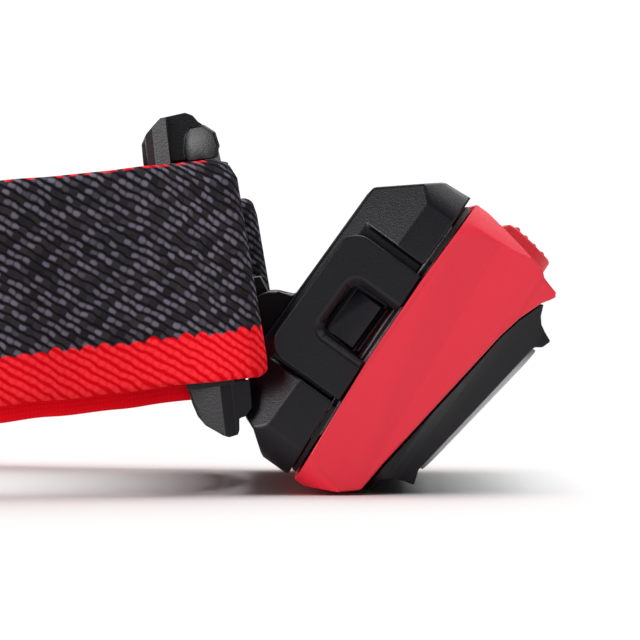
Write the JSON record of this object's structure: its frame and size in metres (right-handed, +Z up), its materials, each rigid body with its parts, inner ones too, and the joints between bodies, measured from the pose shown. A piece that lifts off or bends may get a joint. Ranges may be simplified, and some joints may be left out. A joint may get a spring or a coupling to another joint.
{
  "type": "headlamp",
  "caption": "Tilting battery headlamp: two-part lamp with a latched battery lid, on a forehead bracket with an adjustable elastic webbing head loop.",
  "frame": {"origin": "on the surface the headlamp stands on, under the middle of its bounding box", "axes": "+X forwards, the way the wearer looks; +Y to the wearer's left; +Z up"},
  "size_m": [0.219, 0.1196, 0.0429],
  "materials": {
    "red_shell": "satin moulded shell, soft to the touch",
    "red_rubber": "matte ribbed rubber",
    "black_plastic": "satin moulded plastic with a fine spark texture",
    "black_rubber": "matte moulded seal",
    "webbing": "elastic twill webbing, dark yarns over a red stripe along its lower edge",
    "pad_foam": "knit-faced foam",
    "clear_lens": "polished clear polycarbonate",
    "mirror_metal": "vacuum-metallised plastic",
    "steel": "nickel-plated spring steel",
    "board": "green solder mask",
    "led": "phosphor under clear resin",
    "cell_jacket": "plain printed jacket, no text"
  },
  "bodies": {
    "headband": {"bracket": "black_plastic", "forehead_pad": "pad_foam", "tilt_pin": "steel", "strap_near": "webbing", "strap_back": "webbing", "strap_far": "webbing"},
    "slider": {"strap_slider": "black_plastic"},
    "battery_case": {"rear_case": "black_plastic", "contact_plate_near": "steel", "contact_plate_far": "steel", "contact_spring_1": "steel", "contact_spring_2": "steel", "contact_spring_3": "steel", "cell_1": "cell_jacket", "cell_2": "cell_jacket", "cell_3": "cell_jacket", "lid_hinge_pin": "steel"},
    "front_case": {"front_shell": "red_shell", "bezel": "black_plastic", "lens": "clear_lens", "reflector": "mirror_metal", "spot_led": "led", "flood_led_near": "led", "flood_led_far": "led", "circuit_board": "board", "inner_frame": "black_plastic", "tact_switch": "steel", "case_seal": "black_rubber", "board_screw_1": "steel", "board_screw_2": "steel", "board_screw_3": "steel", "board_screw_4": "steel", "latch_pin": "steel"},
    "latch": {"latch_arm": "black_plastic"},
    "button": {"mode_button": "red_rubber"}
  },
  "joints": [
    {"name": "lamp_tilt", "type": "hinge", "parent": "headband", "child": "battery_case", "pos_m": [0.07713, 0, 0.01972], "axis": [0, 1, 0], "range_deg": [-42, 1.5]},
    {"name": "lid_hinge", "type": "hinge", "parent": "battery_case", "child": "front_case", "pos_m": [0.0894, 0.0296, 0.01826], "axis": [0.585, 0, 0.8111], "range_deg": [0, 95]},
    {"name": "latch_flex", "type": "hinge", "parent": "front_case", "child": "latch", "pos_m": [0.0905, -0.0272, 0.0168], "axis": [0.585, 0, 0.8111], "range_deg": [0, 7], "stiffness_Nm_per_rad": 0.05},
    {"name": "button_press", "type": "slide", "parent": "front_case", "child": "button", "axis": [-0.585, 0, -0.8111], "range_m": [0, 0.0006], "stiffness_N_per_m": 2000},
    {"name": "slider_slide", "type": "slide", "parent": "headband", "child": "slider", "axis": [0.9568, -0.2696, 0.109], "range_m": [-0.012, 0.012]}
  ]
}
